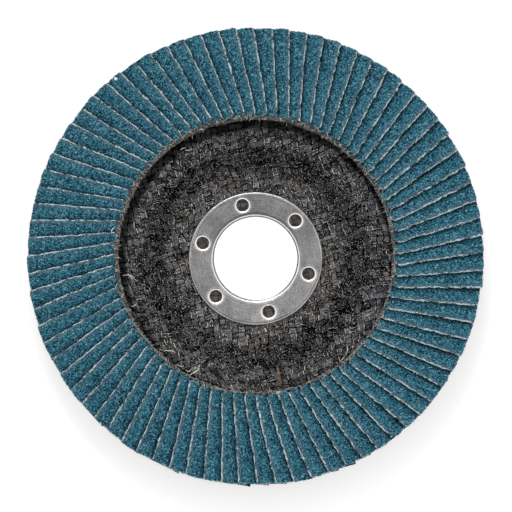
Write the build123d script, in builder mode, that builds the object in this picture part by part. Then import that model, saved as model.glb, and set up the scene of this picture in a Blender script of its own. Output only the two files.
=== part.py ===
from build123d import *
from math import asin, atan2, cos, degrees, isclose, radians, sin, sqrt, tan
import os

# Flap disc for an angle grinder: a dished glass-fibre backing plate, a pressed steel
# hub ring, and a fan of overlapping abrasive-cloth flaps set in a bead of adhesive.
#
# Millimetres. +Z runs along the bore axis towards the grinding side. The origin is on
# that axis, in the plane of the hub's back face, and the disc rests on that face.
#
# Each flap is a flat strip whose length runs outwards along its own radius. Seen from
# +Z its clockwise long edge stands up, and its counterclockwise long edge is buried
# under the next flap and seated in the adhesive.

# ---- Driving dimensions ------------------------------------------------------------

# Whole disc
disc_diameter = 125.0
bore_diameter = 22.23

# Backing plate
plate_thickness = 3.0
hub_floor_diameter = 48.0  # flat floor of the depressed centre, on the front
dish_depth = 4.2  # rise from the hub floor to the rim
dish_run = 6.5  # length of the slope between them, measured outwards
dish_blend = 2.0  # inside radius where the plate bends
plate_bore_clearance = 0.05  # radial, around the hub ring's collar

# Hub ring
ring_flange = 7.4  # width of the flange, from the bore to its edge
ring_sheet = 0.8
ring_bend = 0.3  # inside radius of the bend from flange to collar
ring_bend_facets = 3  # flats that make up the outside of that bend
ring_edge_chamfer = 0.3
collar_recess = 0.1  # the collar stops short of the plate's back face

# Holes pierced through the hub ring's flange
pierce_count = 6
pierce_setback = 4.065  # from the bore to the holes' centres
pierce_start_angle = 43.75
pierce_diameter = 3.2
pierce_lip_width = 0.6  # where the punch draws the sheet in
pierce_lip_depth = 0.4
pierce_wall = 0.45  # wall of the burr that bites into the plate
pierce_reach = 0.9  # length of the burr below the flange
pierce_clearance = 0.1  # around and below each burr, in the plate

# Flaps
flap_count = 80
flaps_per_node = 2
flap_start_angle = 4.0
flap_length = 24.4
flap_span = 17.9  # width across the radius, seen along the bore axis
flap_thickness = 0.95
flap_air = 0.03  # between neighbours at their inner ends, where they lie closest
flap_overhang = 9.0  # beyond the backing plate's edge

# Adhesive
bond_line = 0.2  # under the flaps' lowest edges
bead_height = 1.0
bead_inner_setback = 2.5  # outwards from the flaps' inner ends
bead_outer_margin = 1.0  # inwards from the plate's edge

# ---- Values worked out from them ---------------------------------------------------

bore_radius = bore_diameter / 2
collar_radius = bore_radius + ring_sheet
ring_radius = bore_radius + ring_flange
pierce_radius = pierce_diameter / 2
burr_radius = pierce_radius + pierce_wall
pierce_circle_radius = bore_radius + pierce_setback

plate_radius = disc_diameter / 2 - flap_overhang
plate_bore_radius = collar_radius + plate_bore_clearance
floor_radius = hub_floor_diameter / 2
brow_radius = floor_radius + dish_run
rim_top = plate_thickness + dish_depth
flange_bottom = plate_thickness
flange_top = flange_bottom + ring_sheet
ring_outer_bend = ring_bend + ring_sheet
plate_bore_chamfer = ring_bend + plate_bore_clearance

# A plate of even thickness bends about one centre on both faces, so the back face's
# corners lie further out than the front's by the mitre of the bend.
dish_slope = atan2(dish_depth, dish_run)
dish_mitre = plate_thickness * tan(dish_slope / 2)
dish_outer_blend = dish_blend + plate_thickness

# Neighbouring flaps are nearest at their inner ends. The tilt is the one at which a
# flap's thickness and the air above it just fill the pitch there.
flap_pitch = 360 / flap_count
flap_outer_reach = sqrt((disc_diameter / 2) ** 2 - (flap_span / 2) ** 2)
flap_inner_reach = flap_outer_reach - flap_length
flap_step = flap_inner_reach * sin(radians(flap_pitch))
flap_tilt = asin((flap_thickness + flap_air) / flap_step)
flap_width = (flap_span - flap_thickness * sin(flap_tilt)) / cos(flap_tilt)
flap_stack_height = flap_width * sin(flap_tilt) + flap_thickness * cos(flap_tilt)
flap_centre_reach = flap_inner_reach + flap_length / 2
flap_centre_height = rim_top + bond_line + flap_stack_height / 2
flap_seat = Location((0, 0, flap_centre_height), (-degrees(flap_tilt), 0, 0))
flap_node_count = flap_count // flaps_per_node
flap_node_angle = flap_pitch * flaps_per_node

bead_inner_radius = flap_inner_reach + bead_inner_setback
bead_outer_radius = plate_radius - bead_outer_margin


def bend_points(radius, facets):
    """Points (r, z) round the hub ring's bend, from the collar up to the flange."""
    centre_r = bore_radius + ring_outer_bend
    centre_z = flange_top - ring_outer_bend
    angles = [radians(90 * step / facets) for step in range(facets + 1)]
    return [(centre_r - radius * cos(a), centre_z + radius * sin(a)) for a in angles]


def round_edges(piece, radius):
    """The circular edges of this radius, the lowest first."""
    circles = piece.edges().filter_by(GeomType.CIRCLE)
    return circles.filter_by(lambda edge: isclose(edge.radius, radius)).sort_by(Axis.Z)


# ---- Backing plate: a dish of even thickness with a pocket under each burr ----------

with BuildPart() as backing_plate:
    with BuildSketch(Plane.XZ):
        with BuildLine():
            front = FilletPolyline(
                (plate_bore_radius, plate_thickness),
                (floor_radius, plate_thickness),
                (brow_radius, rim_top),
                (plate_radius, rim_top),
                radius=[dish_blend, dish_outer_blend],
            )
            back = FilletPolyline(
                (plate_bore_radius, 0),
                (floor_radius + dish_mitre, 0),
                (brow_radius + dish_mitre, dish_depth),
                (plate_radius, dish_depth),
                radius=[dish_outer_blend, dish_blend],
            )
            Line(front @ 0, back @ 0)
            Line(front @ 1, back @ 1)
        make_face()
    revolve(axis=Axis.Z)

    chamfer(round_edges(backing_plate, plate_bore_radius)[-1], length=plate_bore_chamfer)

    with BuildSketch(Plane.XY.offset(plate_thickness)):
        with PolarLocations(pierce_circle_radius, pierce_count, start_angle=pierce_start_angle):
            Circle(burr_radius + pierce_clearance)
    extrude(amount=-(pierce_reach + pierce_clearance), mode=Mode.SUBTRACT)


# ---- Hub ring: a flange turned down into a collar, pierced from the front ------------

with BuildPart() as hub_ring:
    with BuildSketch(Plane.XZ):
        with BuildLine():
            front = Polyline(
                (bore_radius, collar_recess),
                *bend_points(ring_outer_bend, ring_bend_facets),
                (ring_radius, flange_top),
            )
            back = Polyline(
                (collar_radius, collar_recess),
                *bend_points(ring_bend, facets=1),
                (ring_radius, flange_bottom),
            )
            Line(front @ 0, back @ 0)
            Line(front @ 1, back @ 1)
        make_face()
    revolve(axis=Axis.Z)

    chamfer(round_edges(hub_ring, ring_radius)[-1], length=ring_edge_chamfer)

    pierce_places = PolarLocations(
        pierce_circle_radius, pierce_count, start_angle=pierce_start_angle
    )
    with BuildSketch(Plane.XY.offset(flange_bottom)):
        with pierce_places:
            Circle(burr_radius)
    extrude(amount=-pierce_reach)
    with BuildSketch(Plane.XY.offset(flange_top)):
        with pierce_places:
            Circle(pierce_radius)
    extrude(amount=-(ring_sheet + pierce_reach), mode=Mode.SUBTRACT)

    chamfer(
        round_edges(hub_ring, pierce_radius)[-pierce_count:],
        length=pierce_lip_depth,
        length2=pierce_lip_width,
    )


# ---- Adhesive bead: a ring with one side and one slanting seat for every flap --------

with BuildPart() as adhesive_bead:
    with BuildSketch(Plane.XY.offset(rim_top)):
        RegularPolygon(bead_outer_radius, flap_count, rotation=flap_start_angle)
        RegularPolygon(
            bead_inner_radius, flap_count, rotation=flap_start_angle, mode=Mode.SUBTRACT
        )
    extrude(amount=bead_height)
    with PolarLocations(flap_centre_reach, flap_count, start_angle=flap_start_angle):
        with Locations(flap_seat):
            Box(flap_length, flap_width, flap_thickness, mode=Mode.SUBTRACT)


# ---- Flaps: neighbouring flaps share a node as separate solids ----------------------

flap_nodes = []
for index in range(flap_node_count):
    with BuildPart() as flap_group:
        with PolarLocations(
            flap_centre_reach,
            flaps_per_node,
            start_angle=flap_start_angle + index * flap_node_angle,
            angular_range=flap_node_angle,
        ):
            with Locations(flap_seat):
                Box(flap_length, flap_width, flap_thickness)
    flap_group.part.label = f"flap_pair_{index + 1:02d}"
    flap_nodes.append(flap_group.part)


# ---- Labels and files ----------------------------------------------------------------

backing_plate.part.label = "backing_plate"
hub_ring.part.label = "hub_ring"
adhesive_bead.part.label = "adhesive_bead"

os.makedirs("parts", exist_ok=True)
export_step(backing_plate.part, "parts/backing_plate.step")
export_step(hub_ring.part, "parts/hub_ring.step")
export_step(adhesive_bead.part, "parts/adhesive_bead.step")
for flap_node in flap_nodes:
    export_step(flap_node, f"parts/{flap_node.label}.step")
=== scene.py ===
"""The look of the flap disc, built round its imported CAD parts. Lengths are in millimetres."""

import math
from types import SimpleNamespace

import bmesh
import bpy
import numpy as np
from mathutils import Matrix, Vector


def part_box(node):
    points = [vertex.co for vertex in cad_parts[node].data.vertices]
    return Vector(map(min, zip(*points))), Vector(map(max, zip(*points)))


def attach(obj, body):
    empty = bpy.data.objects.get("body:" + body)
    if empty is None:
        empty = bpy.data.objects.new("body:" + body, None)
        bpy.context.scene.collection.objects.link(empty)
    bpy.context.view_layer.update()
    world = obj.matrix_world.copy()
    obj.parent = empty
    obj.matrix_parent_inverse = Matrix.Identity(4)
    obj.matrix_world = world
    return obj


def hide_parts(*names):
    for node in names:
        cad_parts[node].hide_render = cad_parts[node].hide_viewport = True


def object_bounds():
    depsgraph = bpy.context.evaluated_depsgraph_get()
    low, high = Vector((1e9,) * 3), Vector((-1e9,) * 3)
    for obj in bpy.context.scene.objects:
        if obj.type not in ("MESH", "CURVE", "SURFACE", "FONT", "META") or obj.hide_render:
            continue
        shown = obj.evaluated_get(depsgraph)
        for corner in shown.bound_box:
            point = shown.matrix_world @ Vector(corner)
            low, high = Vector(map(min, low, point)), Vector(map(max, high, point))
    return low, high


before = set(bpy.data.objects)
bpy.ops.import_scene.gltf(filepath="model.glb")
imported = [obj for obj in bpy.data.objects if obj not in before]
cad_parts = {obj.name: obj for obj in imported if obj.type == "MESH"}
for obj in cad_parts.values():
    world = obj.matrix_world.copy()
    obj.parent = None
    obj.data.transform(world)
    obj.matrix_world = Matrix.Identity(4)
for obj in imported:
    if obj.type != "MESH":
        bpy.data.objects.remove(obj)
cad_low, cad_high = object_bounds()

MILLIMETRE = 0.001  # in metres
SEED = 20

# ---- Sizes shared with the CAD parts ----

# Flaps: flat strips, each tilted about its own radius
flap_count = 80
flaps_per_piece = 2
flap_start_angle = 4.0
flap_length = 24.4
flap_span = 17.9
flap_thickness = 0.95
flap_air = 0.03
flap_pitch = 360 / flap_count
disc_radius = (cad_high.x - cad_low.x) / 2 / MILLIMETRE
flap_outer_reach = math.sqrt(disc_radius**2 - (flap_span / 2) ** 2)
flap_inner_reach = flap_outer_reach - flap_length
flap_tilt = math.asin((flap_thickness + flap_air) / (flap_inner_reach * math.sin(math.radians(flap_pitch))))
flap_width = (flap_span - flap_thickness * math.sin(flap_tilt)) / math.cos(flap_tilt)
flap_top = cad_high.z / MILLIMETRE
shown_per_radius = 2 * math.sin(math.radians(flap_pitch / 2)) / math.cos(flap_tilt)
flap_stack_height = flap_width * math.sin(flap_tilt) + flap_thickness * math.cos(flap_tilt)
flap_centre_height = flap_top - flap_stack_height / 2

# Backing plate
_, plate_high = (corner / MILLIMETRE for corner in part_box("backing_plate"))
plate_radius = plate_high.x
rim_top = plate_high.z
plate_thickness = 3.0
plate_bore_radius = 11.965
floor_radius = 24.0
dish_run = 6.5
dish_blend = 2.0
dish_depth = rim_top - plate_thickness
brow_radius = floor_radius + dish_run

# Hub ring
_, ring_high = (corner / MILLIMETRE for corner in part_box("hub_ring"))
ring_radius = ring_high.x
ring_top = ring_high.z
ring_sheet = 0.8
bore_radius = 11.115
groove_radius = 11.68  # of a shallow groove round the bore's rim
collar_bottom = 0.1
pierce_count = 6
pierce_start_angle = 43.75
pierce_circle_radius = 15.18
pierce_radius = 1.6

# ---- Camera ----

# The disc is seen from above its grinding side, leaning a few degrees towards -Y.
image_pixels = 512
pixel_size = 0.2734  # millimetres of the disc to a pixel
camera_distance = 850.0
camera_target = Vector((0.1, -0.08, 10.0))
camera_lean = -6.1  # degrees towards +Y
sensor_width = 36.0

camera_data = bpy.data.cameras.new("camera")
camera_data.sensor_width = sensor_width
camera_data.lens = sensor_width * camera_distance / (image_pixels * pixel_size)
camera = bpy.data.objects.new("camera", camera_data)
bpy.context.scene.collection.objects.link(camera)
towards_camera = Vector((0.0, math.tan(math.radians(camera_lean)), 1.0)).normalized()
camera_right = Vector((1.0, 0.0, 0.0))
camera_up = towards_camera.cross(camera_right)
camera_axes = Matrix((camera_right, camera_up, towards_camera)).transposed()
camera_place = (camera_target + towards_camera * camera_distance) * MILLIMETRE
camera.matrix_world = Matrix.LocRotScale(camera_place, camera_axes.to_quaternion(), None)
bpy.context.scene.camera = camera
bpy.context.scene.view_settings.view_transform = "Standard"


# ---- Node helpers ----


class Value:
    """A node's output. Plain arithmetic with it, on numbers or other outputs, adds math nodes."""

    def __init__(self, nodes, socket):
        self.nodes = nodes
        self.socket = socket

    def __add__(self, other):
        return self.nodes.math("ADD", self, other)

    def __sub__(self, other):
        return self.nodes.math("SUBTRACT", self, other)

    def __rsub__(self, other):
        return self.nodes.math("SUBTRACT", other, self)

    def __mul__(self, other):
        return self.nodes.math("MULTIPLY", self, other)

    def __truediv__(self, other):
        return self.nodes.math("DIVIDE", self, other)

    def __mod__(self, other):
        return self.nodes.math("MODULO", self, other)

    def __pow__(self, other):
        return self.nodes.math("POWER", self, other)

    def __abs__(self):
        return self.nodes.math("ABSOLUTE", self)


class Nodes:
    """Adds nodes to one tree. What it is given and gives back are numbers, colours and Values."""

    def __init__(self, tree):
        self.tree = tree

    def feed(self, socket, value):
        if isinstance(value, Value):
            self.tree.links.new(value.socket, socket)
        else:
            socket.default_value = value

    def add(self, kind, inputs, *outputs, **settings):
        """The chosen outputs of a new node. Inputs and outputs go by name or number."""
        node = self.tree.nodes.new(kind)
        for name, setting in settings.items():
            setattr(node, name, setting)
        for name, value in inputs.items():
            self.feed(node.inputs[name], value)
        return [Value(self, node.outputs[name]) for name in outputs]

    def math(self, operation, *values):
        return self.add("ShaderNodeMath", dict(enumerate(values)), 0, operation=operation)[0]

    def larger(self, first, second):
        return self.math("MAXIMUM", first, second)

    def smaller(self, first, second):
        return self.math("MINIMUM", first, second)

    def vector(self, operation, *values, output=0):
        return self.add("ShaderNodeVectorMath", dict(enumerate(values)), output, operation=operation)[0]

    def stretched(self, vector, *factors):
        return self.vector("MULTIPLY", vector, factors)

    def length(self, vector):
        return self.vector("LENGTH", vector, output="Value")

    def from_axis(self, place):
        """A place's distance from the Z axis."""
        return self.length(self.stretched(place, 1.0, 1.0, 0.0))

    def split(self, vector):
        return self.add("ShaderNodeSeparateXYZ", {0: vector}, 0, 1, 2)

    def join(self, x, y, z):
        return self.add("ShaderNodeCombineXYZ", {0: x, 1: y, 2: z}, 0)[0]

    def ramp(self, factor, *stops):
        """A colour ramp through stops of (place, colour) or (place, grey)."""
        node = self.tree.nodes.new("ShaderNodeValToRGB")
        elements = node.color_ramp.elements
        while len(elements) < len(stops):
            elements.new(1.0)
        for element, (place, colour) in zip(elements, stops):
            element.position = place
            element.color = (colour, colour, colour, 1.0) if isinstance(colour, float) else colour
        self.feed(node.inputs[0], factor)
        return Value(self, node.outputs["Color"])

    def step(self, value, low, high, to_low=0.0, to_high=1.0):
        """to_low below low, to_high above high, and smooth between them."""
        inputs = dict(enumerate((value, low, high, to_low, to_high)))
        return self.add("ShaderNodeMapRange", inputs, 0, interpolation_type="SMOOTHSTEP")[0]

    def fall(self, value, low, high):
        """1 below low, 0 above high, and smooth between them."""
        return self.step(value, low, high, 1.0, 0.0)

    def mix(self, factor, first, second, blend="MIX"):
        inputs = {0: factor, 6: first, 7: second}
        return self.add("ShaderNodeMix", inputs, 2, data_type="RGBA", blend_type=blend)[0]

    def tint(self, factor, colour, by):
        """A colour, with a share of it multiplied by another."""
        return self.mix(factor, colour, self.mix(1.0, colour, by, "MULTIPLY"))

    def noise(self, vector, scale, detail=2.0, roughness=0.5, output="Fac"):
        inputs = {"Vector": vector, "Scale": scale, "Detail": detail, "Roughness": roughness}
        return self.add("ShaderNodeTexNoise", inputs, output)[0]

    def attribute(self, name):
        """The vector that a mesh carries under a name."""
        return self.add("ShaderNodeAttribute", {}, "Vector", attribute_name=name)[0]

    def paint(self, **inputs):
        """Feeds inputs of the shader. An underscore stands for a space in an input's name."""
        shader = self.tree.nodes["Principled BSDF"]
        for name, value in inputs.items():
            self.feed(shader.inputs[name.replace("_", " ")], value)

    def bump(self, height, distance, strength=1.0):
        """A bumped normal. A height of 1 stands distance millimetres up."""
        inputs = {"Height": height, "Distance": distance * MILLIMETRE, "Strength": strength}
        return self.add("ShaderNodeBump", inputs, 0)[0]


def new_material(name, **fixed):
    """A material, its nodes and a place on the object. fixed are inputs that are the same all over."""
    material = bpy.data.materials.new(name)
    material.use_nodes = True
    nodes = Nodes(material.node_tree)
    nodes.paint(**fixed)
    [place] = nodes.add("ShaderNodeTexCoord", {}, "Object")
    return material, nodes, nodes.stretched(place, *[1 / MILLIMETRE] * 3)


def srgb(red, green, blue):
    """A display colour, 0 to 255, as Blender's linear colour."""
    shares = (red / 255, green / 255, blue / 255)
    return (*(c / 12.92 if c <= 0.04045 else ((c + 0.055) / 1.055) ** 2.4 for c in shares), 1.0)


# ---- Floor, world and lamp ----

WHITE = (1.0, 1.0, 1.0, 1.0)

# The studio overhead, as shiny parts see it
overhead_near = (0.055, 0.062, 0.08, 1.0)  # towards -Y
overhead_far = (0.80, 0.77, 0.72, 1.0)  # towards +Y
overhead_edge = (0.03, 0.18)  # share of the way to +Y, over which one turns into the other
overhead_rise = (0.86, 0.965)  # share of the way up, over which the white sides turn into it

floor_half_size = 900.0
floor_white = (0.82, 0.82, 0.82, 1.0)
floor_glow = 0.43  # white that the floor adds for the rays that show the background
bore_painted_light = 0.8  # and, as painted light over the disc's shadow, where it shows through the bore
bore_painted_light_fade = (12.0, 16.0)

lamp_place = (-80.0, 500.0, 650.0)
lamp_size = 260.0
lamp_watts = 1.7


def ray_kinds(nodes):
    """1 for camera rays, and 1 for the rays that shiny or clear surfaces send out."""
    kinds = ("Is Camera Ray", "Is Glossy Ray", "Is Transmission Ray")
    camera_ray, glossy_ray, clear_ray = nodes.add("ShaderNodeLightPath", {}, *kinds)
    return camera_ray, nodes.larger(glossy_ray, clear_ray)


def make_world():
    """White behind the disc. Shiny parts see white sides, and overhead a dark half and a pale half."""
    world = bpy.data.worlds.new("studio")
    world.use_nodes = True
    bpy.context.scene.world = world
    nodes = Nodes(world.node_tree)
    [direction] = nodes.add("ShaderNodeTexCoord", {}, "Generated")
    _, away, height = nodes.split(direction)
    soft_light = nodes.ramp(height, (0.0, 0.65), (0.3, 0.95), (0.7, 0.95), (1.0, 0.55))
    overhead = nodes.mix(nodes.step(away, *overhead_edge), overhead_near, overhead_far)
    mirrored = nodes.mix(nodes.step(height, *overhead_rise), WHITE, overhead)
    camera_ray, shiny_ray = ray_kinds(nodes)
    colour = nodes.mix(shiny_ray, soft_light, mirrored)
    colour = nodes.mix(camera_ray, colour, WHITE)
    nodes.feed(world.node_tree.nodes["Background"].inputs["Color"], colour)


def make_floor():
    """A matt white floor, with a glow for the rays that show it as background or mirrored."""
    half = floor_half_size * MILLIMETRE
    corners = [(-half, -half, 0), (half, -half, 0), (half, half, 0), (-half, half, 0)]
    mesh = bpy.data.meshes.new("floor")
    mesh.from_pydata(corners, [], [(0, 1, 2, 3)])
    floor = bpy.data.objects.new("floor", mesh)
    bpy.context.scene.collection.objects.link(floor)
    material, nodes, place = new_material("floor_white", Base_Color=floor_white, Roughness=0.9)
    own_nodes = material.node_tree.nodes
    radius = nodes.from_axis(place)
    # Under the bore the glow is stronger: painted light that hides the disc's shadow on the floor there.
    level = nodes.larger(*ray_kinds(nodes)) * nodes.step(radius, *bore_painted_light_fade, bore_painted_light, floor_glow)
    [glow] = nodes.add("ShaderNodeEmission", {"Strength": level}, 0)
    surface = Value(nodes, own_nodes["Principled BSDF"].outputs[0])
    [both] = nodes.add("ShaderNodeAddShader", {0: surface, 1: glow}, 0)
    nodes.feed(own_nodes["Material Output"].inputs["Surface"], both)
    mesh.materials.append(material)


def make_lamp():
    """A square soft lamp that faces the disc."""
    data = bpy.data.lights.new("key_lamp", "AREA")
    data.size = lamp_size * MILLIMETRE
    data.energy = lamp_watts
    lamp = bpy.data.objects.new("key_lamp", data)
    lamp.location = Vector(lamp_place) * MILLIMETRE
    lamp.rotation_mode = "QUATERNION"
    lamp.rotation_quaternion = (-Vector(lamp_place)).to_track_quat("-Z", "Y")
    bpy.context.scene.collection.objects.link(lamp)


make_world()
make_floor()
make_lamp()


# ---- Materials of the flaps ----

# The flaps' meshes carry "strip": the place along, across and through the strip of cloth.

grain_size = 0.29
edge_grey_reach = 1.5
crevice_shade_fade = (-0.9, 0.9)  # where painted shade darkens the grain, measured from the next flap's edge
crevice_shade_core = (0.1, 0.45)  # and where that painted shade is nearly black
stain_lean = 0.010  # by this share, the stained inner ends are longer towards -X and +Y
soaked_end = (0.3, 0.9)  # along a strip, where its cut side turns from soaked in resin to clean
fine_pitch = 0.55  # of the weave on the flaps' backs
cloth_white = srgb(240, 251, 255)
soaked_white = srgb(206, 200, 190)


def grain_colour(nodes, place):
    """The speckle of blue-green grain in resin, its cells' distance and its shade from 0 to 1."""
    inputs = {"Vector": place, "Scale": 1 / grain_size}
    distance, cell = nodes.add("ShaderNodeTexVoronoi", inputs, "Distance", "Color")
    fine = nodes.noise(place, 6.0, roughness=0.7)
    cloud = nodes.noise(place, 0.3) - 0.5
    shade = nodes.split(cell)[0] * 0.55 + fine * 0.62 + cloud * 0.12
    colour = nodes.ramp(
        shade,
        (0.32, srgb(0, 10, 24)),
        (0.43, srgb(2, 50, 72)),
        (0.54, srgb(26, 101, 124)),
        (0.73, srgb(54, 128, 151)),
        (0.86, srgb(104, 168, 184)),
        (0.93, srgb(190, 222, 230)),
        (0.97, srgb(252, 255, 255)),
    )
    return colour, distance, shade


def make_grain():
    """Coated face of a flap: speckled grain, greyer at the raised edge, with painted shade in the crevice.
    """
    material, nodes, place = new_material("abrasive_grain", Specular_IOR_Level=0.25)
    along, across, _ = nodes.split(nodes.attribute("strip"))
    colour, distance, shade = grain_colour(nodes, place)
    drift = nodes.noise(place, 1.3, detail=4.0, roughness=0.65)
    # The grain turns lighter and greyer towards the raised edge.
    edge_greying = nodes.step(across - drift * 2.0 + 1.0, 0.0, edge_grey_reach, 0.42, 0.0)
    edge_grey_colour = nodes.mix(nodes.noise(place, 4.4, detail=3.0), srgb(40, 66, 78), srgb(140, 154, 156))
    colour = nodes.mix(edge_greying, colour, edge_grey_colour)

    # covered is how far a place lies under the next flap.
    covered = across - (along + flap_inner_reach) * shown_per_radius + drift * 1.2
    # Painted shade: the grain darkens towards the next flap's raised edge and is nearly black right under
    # it.
    colour = nodes.mix(nodes.step(covered, *crevice_shade_fade, 0.0, 0.8), colour, srgb(0, 24, 36))
    colour = nodes.mix(nodes.step(covered, *crevice_shade_core, 0.0, 0.85), colour, srgb(0, 8, 14))

    # The covered part of the inner end is stained by resin and frayed.
    x, y, _ = nodes.split(place)
    stained = nodes.step(covered - along * 0.7 + (y - x) * stain_lean, 0.0, 0.5)
    frayed = nodes.ramp(
        nodes.noise(nodes.stretched(place, 1.0, 1.0, 9.0), 1.6, detail=4.0, roughness=0.75),
        (0.36, srgb(12, 10, 10)),
        (0.47, srgb(72, 68, 66)),
        (0.58, srgb(136, 128, 118)),
        (0.68, srgb(236, 224, 208)),
    )
    colour = nodes.mix(stained, colour, frayed)

    # The raised edge and both ends are chipped down to the white cloth.
    from_ends = nodes.smaller(along, flap_length - along)
    rim = nodes.smaller(across * 1.7 - 0.14, from_ends) - 0.25 + drift * 0.5
    chips = nodes.step(nodes.noise(place, 0.8, detail=3.0, roughness=0.75), 0.50, 0.54)
    cloth = nodes.mix(nodes.step(along, 0.3, 0.8), soaked_white, cloth_white)
    colour = nodes.mix(nodes.step(rim, 0.0, 0.2, 0.95, 0.0) * chips, colour, cloth)
    nodes.paint(
        Base_Color=colour,
        Roughness=nodes.step(shade, 0.2, 1.0, 0.85, 0.4),
        Normal=nodes.bump(shade * 1.2 - distance, 0.22),
    )
    return material


def make_cut_cloth():
    """Cut side of a flap: pale threads end on, under a thin layer of grain."""
    material, nodes, place = new_material("cut_cloth", Roughness=0.85, Specular_IOR_Level=0.3)
    along, _, depth = nodes.split(nodes.attribute("strip"))
    threads = nodes.noise(nodes.stretched(place, 1.5, 1.5, 4.0), 1.0, detail=4.0, roughness=0.75)
    stretch = nodes.noise(place, 0.45, detail=3.0, roughness=0.7) - 0.5
    clean = nodes.ramp(
        threads + stretch * 2.4,
        (0.30, srgb(18, 44, 56)),
        (0.42, srgb(80, 104, 114)),
        (0.49, srgb(170, 194, 204)),
        (0.54, srgb(236, 251, 255)),
    )
    soaked = nodes.ramp(
        threads,
        (0.34, srgb(16, 19, 23)),
        (0.47, srgb(62, 69, 77)),
        (0.59, srgb(108, 112, 116)),
        (0.68, srgb(232, 227, 218)),
    )
    cloth = nodes.mix(nodes.step(along, *soaked_end), soaked, clean)
    ragged = depth + nodes.noise(place, 1.6, detail=3.0) * 0.5
    coated = nodes.step(ragged, flap_thickness, flap_thickness * 1.2)
    grain, _, _ = grain_colour(nodes, place)
    nodes.paint(Base_Color=nodes.mix(coated, cloth, grain), Normal=nodes.bump(threads, 0.22, 0.9))
    return material


def make_back_cloth():
    """Uncoated face of a flap: a plain weave of pale thread, stained by resin."""
    material, nodes, place = new_material("back_cloth", Roughness=0.88, Specular_IOR_Level=0.25)
    along, across, _ = nodes.split(nodes.attribute("strip"))

    def pad(side):
        """0 between threads and 1 over the middle of one."""
        return 1.0 - (abs(nodes.math("FRACT", side / fine_pitch) - 0.5) * 2.0) ** 3.0

    over = pad(along) * pad(across)
    stain = nodes.noise(place, 0.28, detail=4.0, roughness=0.6)
    thread = nodes.mix(stain, srgb(150, 136, 122), srgb(206, 196, 182))
    nodes.paint(
        Base_Color=nodes.mix(nodes.step(over, 0.1, 0.9), srgb(92, 84, 76), thread),
        Normal=nodes.bump(over, 0.1, 0.8),
    )
    return material


def make_thread():
    """Loose white fibre of the cloth, creamy with resin round the dish."""
    material, nodes, place = new_material("loose_thread", Roughness=0.7, Specular_IOR_Level=0.4)
    shade = nodes.noise(place, 0.8)
    clean = nodes.ramp(shade, (0.35, srgb(170, 184, 190)), (0.55, srgb(244, 250, 255)))
    soaked = nodes.ramp(shade, (0.35, srgb(150, 138, 124)), (0.55, srgb(250, 240, 226)))
    near_dish = nodes.fall(nodes.from_axis(place), flap_inner_reach + 0.6, flap_inner_reach + 1.2)
    nodes.paint(Base_Color=nodes.mix(near_dish, clean, soaked))
    return material


def make_stained_thread():
    """Fibre soaked in pinkish-brown resin."""
    material, nodes, place = new_material("stained_thread", Roughness=0.8, Specular_IOR_Level=0.3)
    shade = nodes.noise(place, 2.2, detail=3.0, roughness=0.7)
    dark, brown, pale = srgb(58, 46, 44), srgb(122, 100, 92), srgb(206, 184, 170)
    colour = nodes.ramp(shade, (0.3, dark), (0.55, brown), (0.72, pale))
    nodes.paint(Base_Color=colour, Normal=nodes.bump(shade, 0.15))
    return material


# ---- Material of the backing plate ----

# The plate's mesh carries "weave": the place in the cloth counted in threads, and 1 on the front or 0 on
# the back. Sides of threads go from 0 in a thread's middle to 1 at the next one.

upright_share = 0.62  # side of a level thread where the upright rovings run through
roving_side = (0.70, 0.84)
thread_side = (0.44, 0.56)
tied_side = (0.78, 0.90)  # where a level thread ties down some of the rovings
outline_fray = 0.36  # in threads
slope_shade_radius = 28.0  # of the band of painted shade on the dish's slope
slope_shade_fade = (1.5, 5.5)
warm_radii = (22.0, 30.0)  # where the brown tint round the hub fades
cool_radii = (20.0, 28.0)  # where the violet tint of the outer part begins
cool_fade = (6.0, 30.0)  # along X, where it grows
foot_shadow_radii = (36.5, 37.6)  # where the painted shadow under the flaps begins
foot_shadow_lean = 0.018  # by this share, it begins further in towards -X and +Y
warm_tint = (1.0, 0.8, 0.62, 1.0)
cool_tint = (0.98, 0.93, 1.10, 1.0)


def woven(nodes, weave):
    """The cloth's masks, and three random values for each crossing of its threads."""
    cloth = SimpleNamespace()
    inputs = {"Vector": nodes.vector("FLOOR", weave)}
    [tile] = nodes.add("ShaderNodeTexWhiteNoise", inputs, "Color", noise_dimensions="2D")
    cloth.shade, cloth.lit_u, cloth.lit_v = nodes.split(tile)
    u, v, _ = nodes.split(weave)
    cloth.side_u, cloth.side_v = (abs(nodes.math("FRACT", side) * 2.0 - 1.0) for side in (u, v))

    # Rovings cross over and under by turns. The upright ones on top are longer than the level ones.
    crossed = abs(nodes.math("FLOOR", u) + nodes.math("FLOOR", v)) % 2.0
    through = nodes.step(cloth.side_v, upright_share - 0.02, upright_share + 0.02)
    cloth.upright = nodes.larger(crossed, through)
    cloth.level = 1.0 - cloth.upright
    tied = nodes.step(cloth.side_v, *tied_side) * nodes.step(cloth.lit_v, 0.45, 0.5)
    cloth.roving = cloth.upright * nodes.fall(cloth.side_u, *roving_side) * (1.0 - tied)
    cloth.thread = cloth.level * nodes.fall(cloth.side_v, *thread_side)
    upright_fibres = nodes.stretched(weave, 6.0, 1.0, 1.0)
    level_fibres = nodes.stretched(weave, 1.5, 8.0, 1.0)
    cloth.upright_fibres = nodes.noise(upright_fibres, 1.0, detail=4.0, roughness=0.75)
    cloth.level_fibres = nodes.noise(level_fibres, 1.0, detail=3.0, roughness=0.75)
    return cloth


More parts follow.
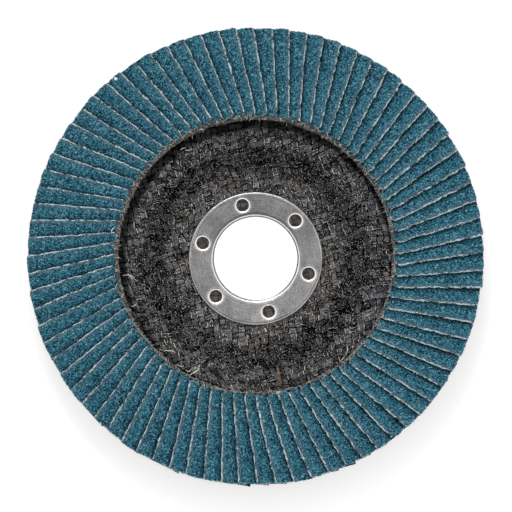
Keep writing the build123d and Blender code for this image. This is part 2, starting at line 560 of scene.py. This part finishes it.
def painted_glints(nodes, place, weave, cloth, patch_and_slope_shade):
    """Painted highlights: 1 on bright strands, resin lines along some threads' sides, and specks of glass.
    """
    hairs = nodes.noise(nodes.stretched(weave, 9.0, 0.8, 1.0), 1.0, roughness=0.6)
    strand = nodes.step(hairs, 0.66, 0.68) * (cloth.upright * 0.8 + 0.2)
    strand = nodes.larger(strand, nodes.step(cloth.level_fibres, 0.67, 0.70) * cloth.thread)
    strand = strand * nodes.step(patch_and_slope_shade, 0.45, 1.0, 0.15, 1.0)

    line_u = nodes.step(cloth.side_u, 0.62, 0.68) * nodes.fall(cloth.side_u, 0.82, 0.88)
    line_u = line_u * cloth.upright * nodes.step(cloth.lit_u, 0.68, 0.72)
    line_v = nodes.step(cloth.side_v, 0.38, 0.44) * nodes.fall(cloth.side_v, 0.56, 0.62)
    line_v = line_v * cloth.level * nodes.step(cloth.lit_v, 0.72, 0.76)
    broken = nodes.step(nodes.noise(place, 1.1, detail=3.0, roughness=0.7), 0.44, 0.52)
    line = nodes.larger(line_u, line_v) * broken * nodes.step(patch_and_slope_shade, 0.4, 1.0, 0.35, 1.0)

    speck = nodes.step(nodes.noise(place, 3.2, roughness=0.8), 0.64, 0.66)
    return nodes.larger(nodes.larger(strand, line), speck)


def make_fibreglass():
    """Open woven glass in black resin: flat grey rovings, dark gaps, and painted glints along the strands.
    """
    material, nodes, place = new_material("fibreglass")
    x, y, _ = nodes.split(place)
    radius = nodes.from_axis(place)
    weave = nodes.attribute("weave")
    _, _, front = nodes.split(weave)
    fray = nodes.noise(place, 0.8, detail=4.0, roughness=0.6, output="Color")
    fray = nodes.stretched(nodes.vector("SUBTRACT", fray, (0.5, 0.5, 0.5)), *[outline_fray] * 3)
    weave = nodes.vector("ADD", weave, fray)
    cloth = woven(nodes, weave)

    # Tone changes from crossing to crossing and in patches; painted shade darkens a band on the dish's
    # slope.
    patch_and_slope_shade = nodes.step(nodes.noise(place, 0.3, detail=4.0, roughness=0.65), 0.30, 0.68, 0.6, 1.25)
    patch_and_slope_shade = patch_and_slope_shade * nodes.step(abs(radius - slope_shade_radius), *slope_shade_fade, 0.42, 1.18)
    rovings = cloth.roving * (cloth.shade**1.6 * 0.76 + 0.16)
    rovings = rovings * nodes.step(cloth.upright_fibres, 0.36, 0.64, 0.6, 1.25)
    threads = cloth.thread * (cloth.shade * 0.6 + 0.15)
    threads = threads * nodes.step(cloth.level_fibres, 0.38, 0.62, 0.6, 1.2)
    body = (rovings + threads) * patch_and_slope_shade
    colour = nodes.ramp(
        body,
        (0.04, srgb(0, 0, 1)),
        (0.14, srgb(34, 34, 35)),
        (0.50, srgb(62, 61, 62)),
        (1.0, srgb(116, 114, 113)),
    )
    warm = nodes.step(nodes.noise(place, 0.14, detail=3.0), 0.44, 0.62, 0.0, 0.55)
    colour = nodes.tint(warm * front * nodes.fall(radius, *warm_radii), colour, warm_tint)
    colour = nodes.tint(nodes.step(x, *cool_fade) * nodes.step(radius, *cool_radii), colour, cool_tint)
    # Painted highlights, laid into the base colour as near-white.
    colour = nodes.mix(painted_glints(nodes, place, weave, cloth, patch_and_slope_shade), colour, srgb(246, 244, 242))

    # The front is brown under the hub ring, as its holes show, and black in the gap under the flaps.
    under_ring = nodes.step(radius, ring_radius - 0.6, ring_radius, 0.8, 0.0)
    colour = nodes.mix(under_ring * front, colour, srgb(66, 60, 56))
    # That black is painted shadow over some dark resin.
    foot_shadow = radius + nodes.noise(place, 0.5, detail=3.0) * 1.6 + (y - x) * foot_shadow_lean
    colour = nodes.mix(nodes.step(foot_shadow, *foot_shadow_radii, 0.0, 0.97) * front, colour, srgb(0, 0, 0))
    nodes.paint(
        Base_Color=colour,
        Specular_IOR_Level=nodes.step(body, 0.05, 0.5, 0.0, 0.6),
        Roughness=nodes.step(cloth.upright_fibres, 0.3, 0.8, 0.55, 0.3),
        Normal=nodes.bump(cloth.upright_fibres * 0.8 + cloth.roving + cloth.thread, 0.3),
    )
    return material


# ---- Materials of the hub ring and the adhesive ----

bore_rim_highlight = (12.15, 12.3)  # radii where the painted highlight on the bore's rim ends
hole_lip_highlight = (2.2, 2.8)  # and the painted highlight on a hole's lip, from the hole's middle
ring_rim_highlight = (0.36, 0.18)  # insets from the ring's rim where its painted highlight begins and is full
groove_fade = (0.12, 0.2)  # half the width of the darker groove
# Paler steel for the painted highlights
highlight_steel = (0.93, 0.93, 0.92, 1.0)


def make_steel():
    """Zinc-plated sheet steel with fine brushing round the bore and rolling marks across it."""
    material, nodes, place = new_material("hub_steel", Metallic=1.0)
    x, y, z = nodes.split(place)
    radius = nodes.from_axis(place)
    angle = nodes.math("ARCTAN2", y, x)
    brushing = nodes.noise(nodes.join(radius * 5.0, angle * 5.0, z), 1.0, detail=4.0, roughness=0.75)
    rolling = nodes.noise(nodes.stretched(place, 4.5, 0.5, 1.0), 1.0, detail=3.0, roughness=0.75)
    cloud = nodes.noise(place, 0.2, detail=4.0, roughness=0.6)
    speckle = nodes.noise(place, 3.0, detail=3.0, roughness=0.7)
    shade = cloud * 0.3 + brushing * 0.3 + rolling * 0.2 + speckle * 0.2
    dark, grey, pale = srgb(112, 114, 120), srgb(184, 184, 187), srgb(238, 236, 234)
    colour = nodes.ramp(shade, (0.38, dark), (0.50, grey), (0.62, pale))

    # Rims and hole lips get painted highlights. turn is the angle from the nearest hole.
    sector = 2 * math.pi / pierce_count
    turn = (angle + (sector / 2 - math.radians(pierce_start_angle) + 4 * math.pi)) % sector - sector / 2
    hole_x = radius * nodes.math("COSINE", turn) - pierce_circle_radius
    hole_y = radius * nodes.math("SINE", turn)
    lips = nodes.fall(nodes.length(nodes.join(hole_x, hole_y, 0.0)), *hole_lip_highlight)
    rims = nodes.step(radius, *(ring_radius - inset for inset in ring_rim_highlight))
    rims = nodes.larger(rims, nodes.fall(radius, *bore_rim_highlight))
    groove = nodes.fall(abs(radius - groove_radius), *groove_fade)
    painted_highlight = nodes.larger(lips, rims) * (1.0 - groove)
    colour = nodes.mix(groove, colour, srgb(104, 102, 100))
    # Paler, smoother steel on rims and lips: painted highlights.
    nodes.paint(
        Base_Color=nodes.mix(painted_highlight, colour, highlight_steel),
        Roughness=nodes.step(shade + painted_highlight, 0.35, 0.65, 0.30, 0.20),
        Normal=nodes.bump(brushing + rolling * 0.6 + speckle, 0.02),
    )
    return material


def make_adhesive():
    """Cured resin, dark brown and lumpy."""
    material, nodes, place = new_material("adhesive", Specular_IOR_Level=0.5)
    lumps = nodes.noise(place, 0.9, detail=4.0, roughness=0.6)
    nodes.paint(
        Base_Color=nodes.ramp(lumps, (0.3, srgb(46, 32, 24)), (0.7, srgb(104, 78, 56))),
        Roughness=nodes.step(lumps, 0.3, 0.7, 0.6, 0.35),
        Normal=nodes.bump(lumps, 0.3, 0.7),
    )
    return material


grain_material = make_grain()
cut_cloth_material = make_cut_cloth()
back_cloth_material = make_back_cloth()
thread_material = make_thread()
stained_material = make_stained_thread()
fibreglass_material = make_fibreglass()
steel_material = make_steel()
adhesive_material = make_adhesive()


# ---- Mesh helpers ----


def unit(vector):
    return vector / np.linalg.norm(vector)


def turned(x, y, angle):
    """x and y, turned by an angle from x towards y."""
    return x * math.cos(angle) - y * math.sin(angle), x * math.sin(angle) + y * math.cos(angle)


def add_piece(name, points, faces, materials, slots=None):
    """Links a smooth mesh object made from points in millimetres."""
    mesh = bpy.data.meshes.new(name)
    mesh.from_pydata((np.asarray(points, float) * MILLIMETRE).tolist(), [], faces)
    for material in materials:
        mesh.materials.append(material)
    if slots is not None:
        mesh.polygons.foreach_set("material_index", np.asarray(slots, np.int32))
    mesh.polygons.foreach_set("use_smooth", np.full(len(mesh.polygons), True))
    mesh.update()
    piece = bpy.data.objects.new(name, mesh)
    bpy.context.scene.collection.objects.link(piece)
    return piece


def add_vectors(piece, name, vectors):
    """Gives each point of a piece a vector that its material reads."""
    attribute = piece.data.attributes.new(name, "FLOAT_VECTOR", "POINT")
    attribute.data.foreach_set("vector", np.asarray(vectors, np.float32).ravel())


def face_outwards(piece):
    """Turns every face of a closed mesh outwards."""
    made = bmesh.new()
    made.from_mesh(piece.data)
    bmesh.ops.recalc_face_normals(made, faces=made.faces)
    made.to_mesh(piece.data)
    made.free()


def loop_faces(first, second):
    """Quads between two closed loops of as many points."""
    return list(zip(first, second, second[1:] + second[:1], first[1:] + first[:1]))


def grid_faces(rows, columns, closed=False):
    """Quads of rows by columns points, numbered row by row. Each row is a closed loop."""
    loops = [list(range(row * columns, (row + 1) * columns)) for row in range(rows)]
    following = loops[1:] + loops[:1] if closed else loops[1:]
    return [face for pair in zip(loops, following) for face in loop_faces(*pair)]


def tube(path, thicknesses, sides, up, flatness=1.0):
    """Points and faces of a closed tube along a path."""
    points = []
    last = len(path) - 1
    turns = np.linspace(0, 2 * math.pi, sides, endpoint=False)[:, None]
    for i, (middle, thickness) in enumerate(zip(path, thicknesses)):
        way = unit(path[min(i + 1, last)] - path[max(i - 1, 0)])
        side = unit(np.cross(way, up))
        rise = np.cross(way, side) * flatness
        points.extend(middle + thickness * (side * np.cos(turns) + rise * np.sin(turns)))
    ends = [tuple(range(sides)), tuple(range(len(points) - sides, len(points)))]
    return points, grid_faces(len(path), sides) + ends


def joined(meshes):
    """Points and faces of several meshes as one."""
    points, faces = [], []
    for some_points, some_faces in meshes:
        faces += [tuple(len(points) + number for number in face) for face in some_faces]
        points += list(some_points)
    return points, faces


def wander(rng, count, reach, steps):
    """count random values that change smoothly over about steps of them, within about reach."""
    knots = rng.normal(0, reach, int(count / steps) + 4)
    places = np.linspace(0, len(knots) - 1.001, count)
    left = places.astype(int)
    share = places - left
    share = share * share * (3 - 2 * share)
    return knots[left] * (1 - share) + knots[left + 1] * share


# ---- Flaps ----

TOP, CUT, BACK = 0, 1, 2  # material slots of a flap

grain_step = 0.33
shown_width = 5.4  # of a strip, from its raised edge to under the next flap
rows_along = int(flap_length / grain_step) + 1

grain_sunk, grain_spread = 0.03, 0.045
edge_wear = 0.12  # the grain is worn down by this much at the raised edge
edge_undercut = 0.26  # the strip thins to that edge by this much from below
edge_curl = 0.12  # and the edge has curled up by this much
cloth_recess = 0.06  # its cloth is frayed back by this much
corner_cut = 0.35  # the corners of the raised edge are worn back by this much
rounded_width = 7.5  # the outer end follows the disc's round as far across as this
oval = 0.3  # the outer ends reach this much further along Y and less far along X

# Spreads of what differs from flap to flap. Angles are in degrees.
askew_spread, tilt_spread = 0.33, 0.15
bow_spread, lift_spread, slide_spread = 0.10, 0.05, 0.11

edge_fibres, outer_fibres, inner_fibres = 7, 5, 8  # on each flap
fibre_taper = np.linspace(1.0, 0.4, 5)  # of its thickness, from point to point


def strip_outline():
    """Points (across, depth) round a flap's section, and the material of the face after each."""
    fine = list(np.arange(0, shown_width, grain_step))
    top = [0.0, 0.12, *fine[1:], 7.0, 10.0, 13.5, 16.5, flap_width - 0.3, flap_width]
    back = [flap_width, *np.arange(flap_width - 0.8, flap_width - 6, -1.3), 9.0, 5.0, 2.0, 0.6, 0.0]
    side = [0.38, 0.52, 0.66, 0.8]
    points = [(a, flap_thickness) for a in top] + [(a, 0.0) for a in back] + [(0.0, d) for d in side]
    zones = [TOP] * (len(top) - 1) + [CUT] + [BACK] * (len(back) - 1) + [CUT] * (len(side) + 1)
    return np.array(points), zones


def flap_mesh(index, rng):
    """Mesh, strip coordinates, material slots and frayed fibres of one flap."""
    outline, zones = strip_outline()
    rows, columns = rows_along, len(outline)
    along = np.repeat(np.linspace(0, flap_length, rows)[:, None], columns, 1)
    across = np.repeat(outline[None, :, 0], rows, 0)
    depth = np.repeat(outline[None, :, 1], rows, 0)
    strip = np.stack([along, across, depth], 2)
    on_top, on_back = depth == flap_thickness, depth == 0
    raised = np.exp(-across / 0.25)

    # Grain stands up from the top. The cut edge is ragged, more so in its cloth.
    depth = depth + np.where(on_top, rng.normal(-grain_sunk, grain_spread, depth.shape), 0)
    depth -= np.where(on_top, edge_wear * np.exp(-across / 0.18), 0)
    depth += np.where(on_back, edge_undercut * np.exp(-((across / 5) ** 2)), 0)
    depth += edge_curl * np.exp(-across / 1.6)
    edge = wander(rng, rows, 0.045, 6) + wander(rng, rows, 0.05, 2)
    ragged = edge[:, None] + rng.normal(0, 0.035, across.shape) - np.where(on_top, 0, cloth_recess)
    across = across + raised * ragged
    for row, side in ((0, -1), (rows - 1, 1)):
        along[row] += side * rng.normal(0, 0.07, columns) - side * 0.05
    away = (across[-1] - flap_width / 2) * math.cos(flap_tilt)
    rounding = np.sqrt(disc_radius**2 - away**2) - flap_outer_reach
    along[-1] += 0.65 * rounding / (1 + np.exp((across[-1] - rounded_width) * 3))
    corner = corner_cut * np.exp(-across / 0.35)
    along[-1] -= corner[-1]
    along[0] += corner[0]

    # A strip lies a little askew, and its raised edge is never quite straight.
    askew = math.radians(rng.normal(0, askew_spread))
    bow = rng.normal(0, bow_spread)
    lift = rng.normal(0, lift_spread)
    share = along / flap_length
    across = across + raised * bow * np.sin(math.pi * share)
    depth = depth + lift * share * np.exp(-across / 6)

    turn = math.radians(flap_start_angle + index * flap_pitch)
    along = along - oval * math.cos(2 * turn) * share
    x, y = turned(along - flap_length / 2, across - flap_width / 2, askew)
    tilt = flap_tilt + math.radians(rng.normal(0, tilt_spread))
    y, z = turned(y, depth - flap_thickness / 2, -tilt)
    x = x + flap_inner_reach + flap_length / 2 + rng.normal(0, slide_spread)
    points = np.stack([*turned(x, y, turn), z + flap_centre_height], 2)

    ends = [tuple(range(columns)), tuple(range(rows * columns - 1, (rows - 1) * columns - 1, -1))]
    slots = zones * (rows - 1) + [CUT, CUT]
    mesh = (points.reshape(-1, 3), grid_faces(rows, columns) + ends)
    return mesh, strip.reshape(-1, 3), slots, frayed_fibres(points, rng)


def frayed_fibres(grid, rng):
    """Tubes of fibres that stick out of a flap's cut edges. grid is its points by row and column."""
    paths = []
    outwards = unit(grid[rows_along // 2, 0] - grid[rows_along // 2, 6])
    along = unit(grid[-1, 0] - grid[0, 0])
    up = unit(np.cross(along, -outwards))
    for _ in range(edge_fibres):
        start = grid[rng.integers(3, rows_along - 3), -rng.integers(1, 4)]
        way = 0.5 * outwards + along * rng.normal(0, 0.9) + up * rng.uniform(0.0, 0.5)
        paths.append(curl(start, way, rng.uniform(0.2, 0.8), rng))
    for _ in range(outer_fibres):
        start = grid[-1, rng.integers(0, 14)] - along * 0.1
        way = along + outwards * rng.normal(0, 0.7) + up * rng.normal(0, 0.2)
        paths.append(curl(start, way, rng.uniform(0.25, 0.8), rng))
    for _ in range(inner_fibres):
        start = grid[0, rng.integers(0, 20)] + along * 0.1
        way = -along + outwards * rng.normal(0, 0.9) - up * rng.uniform(0, 0.5)
        paths.append(curl(start, way, rng.uniform(0.3, 1.3), rng))
    return [tube(path, thickness * fibre_taper, 3, (0.31, 0.17, 0.93)) for path, thickness in paths]


def curl(start, way, length, rng):
    """The path of a curved fibre from a point along a way, and its thickness."""
    way = unit(way)
    bow = unit(np.cross(way, rng.normal(0, 1, 3))) * rng.uniform(0.1, 0.7)
    steps = np.linspace(0, 1, len(fibre_taper))[:, None]
    return start + length * (way * steps + bow * steps**2 * 0.5), rng.uniform(0.05, 0.08)


def make_flaps():
    flap_materials = [grain_material, cut_cloth_material, back_cloth_material]
    fray = []
    for first in range(0, flap_count, flaps_per_piece):
        indices = range(first, first + flaps_per_piece)
        flaps = [flap_mesh(index, np.random.default_rng(SEED + index)) for index in indices]
        meshes, strips, slots, fibres = zip(*flaps)
        number = first // flaps_per_piece + 1
        piece = add_piece(f"flaps_{number:02d}", *joined(meshes), flap_materials, np.concatenate(slots))
        add_vectors(piece, "strip", np.concatenate(strips))
        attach(piece, "root")
        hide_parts(f"flap_pair_{number:02d}")
        fray += sum(fibres, [])
    piece = add_piece("frayed_fibres", *joined(fray), [thread_material])
    face_outwards(piece)
    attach(piece, "root")


make_flaps()


# ---- Backing plate ----

plate_segments = 600
bend_step = 0.4
fine_step, plain_step, back_step = 0.34, 1.2, 0.7  # between rows that are seen, hidden, and on the back
plate_edge = 0.4  # height of its bevels
bore_bevel = 0.35

weave_angle = 14.0  # degrees from +X
weave_pitch = (1.75, 1.4)  # across the upright rovings and across the level ones
weave_depth = 0.3
back_weave_share = 0.6  # of that depth
resin_grit = 0.02
wave_count = 14
thread_drift = (22.0, 0.6)  # length and reach of its waves
thread_waver = (6.0, 0.12)  # and of the short ones, whose reach is counted in threads


def bend(points, radii):
    """A polyline through points (r, z), with each inner corner rounded to its radius."""
    points = np.array(points, float)
    path = [points[0]]
    for before, corner, after, radius in zip(points, points[1:], points[2:], radii):
        into, out = unit(corner - before), unit(after - corner)
        turn = math.acos(float(np.clip(into @ out, -1, 1)))
        centre = corner + unit(out - into) * radius / math.cos(turn / 2)
        arm = corner - into * radius * math.tan(turn / 2) - centre
        count = max(3, int(radius * turn / bend_step) + 1)
        sign = 1 if into[0] * out[1] - into[1] * out[0] > 0 else -1
        path += [centre + turned(*arm, sign * turn * i / count) for i in range(count + 1)]
    return [*path, points[-1]]


def resample(path, step_at):
    """Points along a path of (r, z), spaced by step_at(r), with its ends kept."""
    path = np.array(path)
    lengths = np.concatenate([[0], np.cumsum(np.linalg.norm(np.diff(path, axis=0), axis=1))])
    place, points = 0.0, []
    while place < lengths[-1]:
        point = np.array([np.interp(place, lengths, path[:, i]) for i in (0, 1)])
        points.append(point)
        place += step_at(point[0])
    points.append(path[-1])
    return points


def lathe(profile, segments, start=0.0):
    """Points and faces of a closed profile (r, z) turned round the Z axis, from the angle start."""
    turns = start + np.linspace(0, 2 * math.pi, segments, endpoint=False)[:, None]
    r, z = np.array(profile).T
    points = np.stack([r * np.cos(turns), r * np.sin(turns), z + 0 * turns], 2)
    return points.reshape(-1, 3), grid_faces(segments, len(profile), closed=True)


def waves(rng, x, y, length, reach):
    """A smooth random height field: a sum of waves about length long, within about reach."""
    total = np.zeros_like(x)
    for _ in range(wave_count):
        way = rng.uniform(0, 2 * math.pi)
        number = 2 * math.pi / (length * rng.uniform(0.6, 1.8))
        total += np.sin(number * (x * math.cos(way) + y * math.sin(way)) + rng.uniform(0, 2 * math.pi))
    return total * reach / math.sqrt(wave_count / 2)


def weave_place(x, y):
    """The place in the cloth, counted in threads, with the cloth's threads drifting."""
    rng = np.random.default_rng(SEED)
    u, v = turned(x, y, -math.radians(weave_angle))
    u = (u + waves(rng, x, y, *thread_drift)) / weave_pitch[0]
    v = (v + waves(rng, x, y, *thread_drift)) / weave_pitch[1]
    return u + waves(rng, x, y, *thread_waver), v + waves(rng, x, y, *thread_waver)


def weave_relief(u, v):
    """Height of the cloth, 0 to 1: upright rovings, and shorter level ones where these lie on top."""
    side_u, side_v = (np.abs(2 * (side - np.floor(side)) - 1) for side in (u, v))
    crossed = (np.floor(u) + np.floor(v)) % 2
    tall = 0.7 + 0.3 * np.sin(12.9 * np.floor(u) + 78.2 * np.floor(v))  # by crossing
    upright = (crossed > 0.5) | (side_v > upright_share)
    height = np.where(upright, 1 - side_u**4, 1 - (side_v / upright_share) ** 4)
    return height * tall


def plate_profile():
    """The plate's front, rim and back, as lists of points (r, z)."""
    mitre = plate_thickness * math.tan(math.atan2(dish_depth, dish_run) / 2)
    blends = [dish_blend, dish_blend + plate_thickness]
    bevel = plate_radius - plate_edge / 2
    front = [
        (plate_bore_radius + bore_bevel, plate_thickness),
        (floor_radius, plate_thickness),
        (brow_radius, rim_top),
        (bevel, rim_top),
    ]
    back = [
        (bevel, dish_depth),
        (brow_radius + mitre, dish_depth),
        (floor_radius + mitre, 0),
        (plate_bore_radius, 0),
    ]
    shown = (ring_radius - 0.8, flap_inner_reach + 2)
    front = resample(bend(front, blends), lambda r: fine_step if shown[0] < r < shown[1] else plain_step)
    back = resample(bend(back, blends), lambda r: back_step)
    return front, [(plate_radius, rim_top - plate_edge), (plate_radius, dish_depth + plate_edge)], back


def make_plate():
    """The turned plate, with the cloth's relief on its front and back."""
    front, edge, back = plate_profile()
    points, faces = lathe([*front, *edge, *back], plate_segments)
    column = np.arange(len(points)) % len([*front, *edge, *back])
    on_front = column < len(front)
    on_back = column >= len(front) + len(edge)
    x, y, _ = points.T
    u, v = weave_place(x, y)
    reach = np.hypot(x, y)
    clear = (reach > ring_radius - 0.4) & (reach < plate_radius - 0.5)
    grit = np.abs(np.random.default_rng(SEED).normal(0, resin_grit, len(points)))
    depth = (1 - weave_relief(u, v)) * weave_depth + grit
    points[:, 2] -= np.where(on_front & clear, depth, 0)
    points[:, 2] += np.where(on_back & clear, depth * back_weave_share, 0)
    plate = add_piece("backing_plate_woven", points, faces, [fibreglass_material])
    add_vectors(plate, "weave", np.stack([u, v, np.where(on_back, 0.0, 1.0)], 1))
    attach(plate, "root")
    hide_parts("backing_plate")


make_plate()


# ---- Hub ring ----

ring_segments = 240
ring_dish = 0.2  # the pressed flange is this much lower at the bore than at its rim
lip_width = 0.62
lip_depth = 0.5
lip_facets = 8
burr_wall = 0.45
burr_reach = 0.9
window_in, window_out = 12.85, 17.6  # radii of the patch of flange that holds a hole
window_rows = 8
window_half = 6  # segments on each side of a hole's centre
bore_roll = ((0, 1.0), (0.08, 0.6), (0.24, 0.32))  # (out from the bore, down from the brim)
groove_sides = ((-0.14, 0.2), (0.14, 0.19), (0.2, 0.14), (0.3, 0.04), (0.42, 0))  # out from its middle
rim_round = ((0.5, 0), (0.36, 0.03), (0.2, 0.12), (0.07, 0.25), (0, 0.4))  # (in, down)


def flange_height(radius):
    """Height of the flange's top at a radius: it is dished towards the bore."""
    return ring_top - ring_dish * (ring_radius - radius) / (ring_radius - bore_radius)


def ring_profile():
    """The ring's section (r, z), and the places in it of the top's and the underside's window rows."""
    brim = flange_height(bore_radius + 1)
    roll = [(bore_radius, collar_bottom)]
    roll += [(bore_radius + out, brim - down) for out, down in bore_roll]
    roll += [(groove_radius + out, brim - down) for out, down in groove_sides]
    top = [(r, flange_height(r)) for r in np.linspace(window_in, window_out, window_rows + 1)]
    under = [(r, z - ring_sheet) for r, z in reversed(top)]
    rim = [(ring_radius - inset, ring_top - down) for inset, down in rim_round]
    rim += [(ring_radius, ring_top - ring_sheet + 0.12), (ring_radius - 0.12, ring_top - ring_sheet)]
    collar = bore_radius + ring_sheet
    inside = [(collar + 0.3, under[-1][1]), (collar, under[-1][1] - 0.3), (collar, collar_bottom)]
    under_start = len(roll) + len(top) + len(rim)
    top_rows = [len(roll) + i for i in range(window_rows + 1)]
    under_rows = [under_start + window_rows - i for i in range(window_rows + 1)]
    return [*roll, *top, *rim, *under, *inside], top_rows, under_rows


def window_outline(segments, rows):
    """(segment, row) round the edge of a window, in order."""
    first, last = segments[0], segments[-1]
    return (
        [(segment, rows[0]) for segment in segments[:-1]]
        + [(last, row) for row in rows[:-1]]
        + [(segment, rows[-1]) for segment in reversed(segments[1:])]
        + [(first, row) for row in reversed(rows[1:])]
    )


def make_ring():
    """A turned section whose flange has a drawn, rounded lip and a burr at each pierced hole."""
    profile, top_rows, under_rows = ring_profile()
    columns = len(profile)
    points, faces = lathe(profile, ring_segments, math.radians(pierce_start_angle))
    points = [tuple(p) for p in points]
    holes = [i * ring_segments // pierce_count for i in range(pierce_count)]
    windows = [[(hole + i) % ring_segments for i in range(-window_half, window_half + 1)] for hole in holes]
    cells = {segment for window in windows for segment in window[:-1]}
    opened = {*top_rows[:-1], *(row - 1 for row in under_rows[:-1])}
    faces = [f for f in faces if not (f[0] // columns in cells and f[0] % columns in opened)]

    lip = [
        (pierce_radius + lip_width * (1 - math.cos(a)), -lip_depth * (1 - math.sin(a)))
        for a in np.linspace(math.pi / 2, 0, lip_facets + 1)
    ]
    burr = burr_wall + pierce_radius
    low = -ring_sheet - burr_reach
    steps = [*lip, (pierce_radius, low), (burr, low), (burr, -ring_sheet)]
    for hole, window in zip(holes, windows):
        angle = math.radians(pierce_start_angle) + 2 * math.pi * hole / ring_segments
        centre = turned(pierce_circle_radius, 0, angle)
        above = [segment * columns + row for segment, row in window_outline(window, top_rows)]
        below = [segment * columns + row for segment, row in window_outline(window, under_rows)]
        ways = [math.atan2(points[i][1] - centre[1], points[i][0] - centre[0]) for i in above]
        loop = above
        for radius, drop in steps:
            start = len(points)
            for way in ways:
                x = centre[0] + radius * math.cos(way)
                y = centre[1] + radius * math.sin(way)
                points.append((x, y, flange_height(math.hypot(x, y)) + drop))
            ring_of = list(range(start, len(points)))
            faces += loop_faces(loop, ring_of)
            loop = ring_of
        faces += loop_faces(loop, below)

    ring = add_piece("hub_ring_steel", points, faces, [steel_material])
    face_outwards(ring)
    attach(ring, "root")
    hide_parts("hub_ring")


make_ring()


# ---- Loose strands ----

# Each strand's thickness and height, and the places in the picture, in pixels, that it runs through
pale_strands = [
    (0.16, 8.3, (159.6, 349.0), (163.0, 350.8), (166.6, 350.7), (171.0, 350.5), (174.0, 351.6)),
    (0.13, 8.6, (156.1, 343.7), (157.4, 344.2), (158.3, 342.9)),
    (0.15, 9.2, (174.5, 366.3), (177.5, 364.7), (180.1, 366.0), (182.8, 366.9), (183.2, 365.1)),
    (0.17, 9.5, (186.2, 376.5), (189.3, 375.2), (193.7, 372.6), (198.5, 369.9), (198.9, 368.2),
     (194.5, 368.0), (191.9, 368.6), (190.6, 370.8), (188.4, 371.7), (185.8, 369.9)),
    (0.12, 9.0, (198.7, 367.8), (199.5, 366.0), (199.8, 364.3)),
    (0.12, 14.2, (115.8, 226.8), (113.4, 227.6), (111.6, 230.6), (111.8, 233.8), (114.6, 235.2),
     (117.4, 235.6)),
    (0.11, 8.2, (122.5, 275.8), (127.0, 274.8), (131.7, 275.8), (134.6, 279.0), (137.6, 281.7)),
    (0.10, 8.4, (127.7, 273.2), (130.4, 276.8), (133.0, 279.7)),
    (0.13, 8.4, (130.4, 306.5), (134.3, 305.9), (136.5, 303.6)),
    (0.14, 9.0, (345.7, 344.2), (347.4, 347.0), (347.6, 350.0), (346.6, 353.8), (344.4, 357.0),
     (339.3, 362.7)),
    (0.12, 8.4, (180.2, 150.0), (183.0, 148.0), (185.9, 147.4)),
]
stained_strands = [
    (0.50, 7.5, (277.4, 365.5), (278.2, 372.0), (279.2, 379.0), (280.6, 387.0)),
    (0.32, 7.7, (278.9, 371.0), (280.2, 379.0), (282.0, 387.5)),
    (0.30, 8.4, (172.2, 352.4), (173.6, 353.8), (174.0, 355.6)),
    (0.34, 7.8, (323.9, 366.9), (324.8, 368.2)),
    (0.26, 9.6, (133.0, 311.8), (134.4, 314.2), (135.6, 317.0)),
]
# Each chip's thickness, height and place in the picture
pale_chips = [
    (0.42, 14.0, (116.4, 79.4)),
    (0.36, 14.1, (115.2, 78.6)),
    (0.55, 13.6, (277.4, 392.8)),
    (0.40, 13.6, (278.8, 392.4)),
    (0.20, 8.0, (265.3, 381.0)),
    (0.16, 8.0, (265.0, 384.0)),
    (0.18, 7.6, (312.0, 370.1)),
    (0.16, 7.9, (323.2, 146.6)),
]
strand_unevenness = 0.03
strand_swell = (0.75, 1.2)
strand_flatness = 0.7


def seen_at(column, row, height):
    """The point at a height that the camera sees at a place in the picture."""
    half = image_pixels / 2
    target = camera_target + pixel_size * ((column - half) * camera_right + (half - row) * camera_up)
    eye = camera_target + camera_distance * towards_camera
    share = (height - eye.z) / (target.z - eye.z)
    return np.array(eye + (target - eye) * share)


def strand(rng, thickness, height, *places):
    """Points and faces of an uneven five-sided tube that thins towards its ends."""
    corners = np.array([seen_at(*place, height) for place in places])
    steps = np.linspace(0, len(corners) - 1, 5 * len(corners) - 4)
    path = np.stack([np.interp(steps, range(len(corners)), values) for values in corners.T], 1)
    path[1:-1] = (path[:-2] + path[1:-1] * 2 + path[2:]) / 4
    path += rng.normal(0, strand_unevenness, path.shape)
    swell = np.sin(math.pi * (np.arange(len(path)) + 0.6) / (len(path) + 0.2)) ** 0.35
    swell *= rng.uniform(*strand_swell, len(path))
    return tube(path, thickness * swell, 5, (0.0, 0.0, 1.0), strand_flatness)


def chip(rng, thickness, height, place):
    """Points and faces of an irregular eight-cornered crumb."""
    points = [
        seen_at(*place, height) + thickness * np.array((x, y, 0.6 * z)) * rng.uniform(0.5, 1.1)
        for x in (-1, 1) for y in (-1, 1) for z in (-1, 1)
    ]
    faces = [(0, 1, 3, 2), (4, 6, 7, 5), (0, 4, 5, 1), (2, 3, 7, 6), (0, 2, 6, 4), (1, 5, 7, 3)]
    return points, faces


def make_strands():
    rng = np.random.default_rng(SEED)
    chips = [chip(rng, *each) for each in pale_chips]
    strands = [strand(rng, *each) for each in pale_strands]
    pale = add_piece("loose_strands", *joined(strands + chips), [thread_material])
    strands = [strand(rng, *each) for each in stained_strands]
    stained = add_piece("stained_strands", *joined(strands), [stained_material])
    for piece in (pale, stained):
        face_outwards(piece)
        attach(piece, "root")


make_strands()


# ---- Adhesive bead ----

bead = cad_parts["adhesive_bead"]
bead.data.materials.clear()
bead.data.materials.append(adhesive_material)
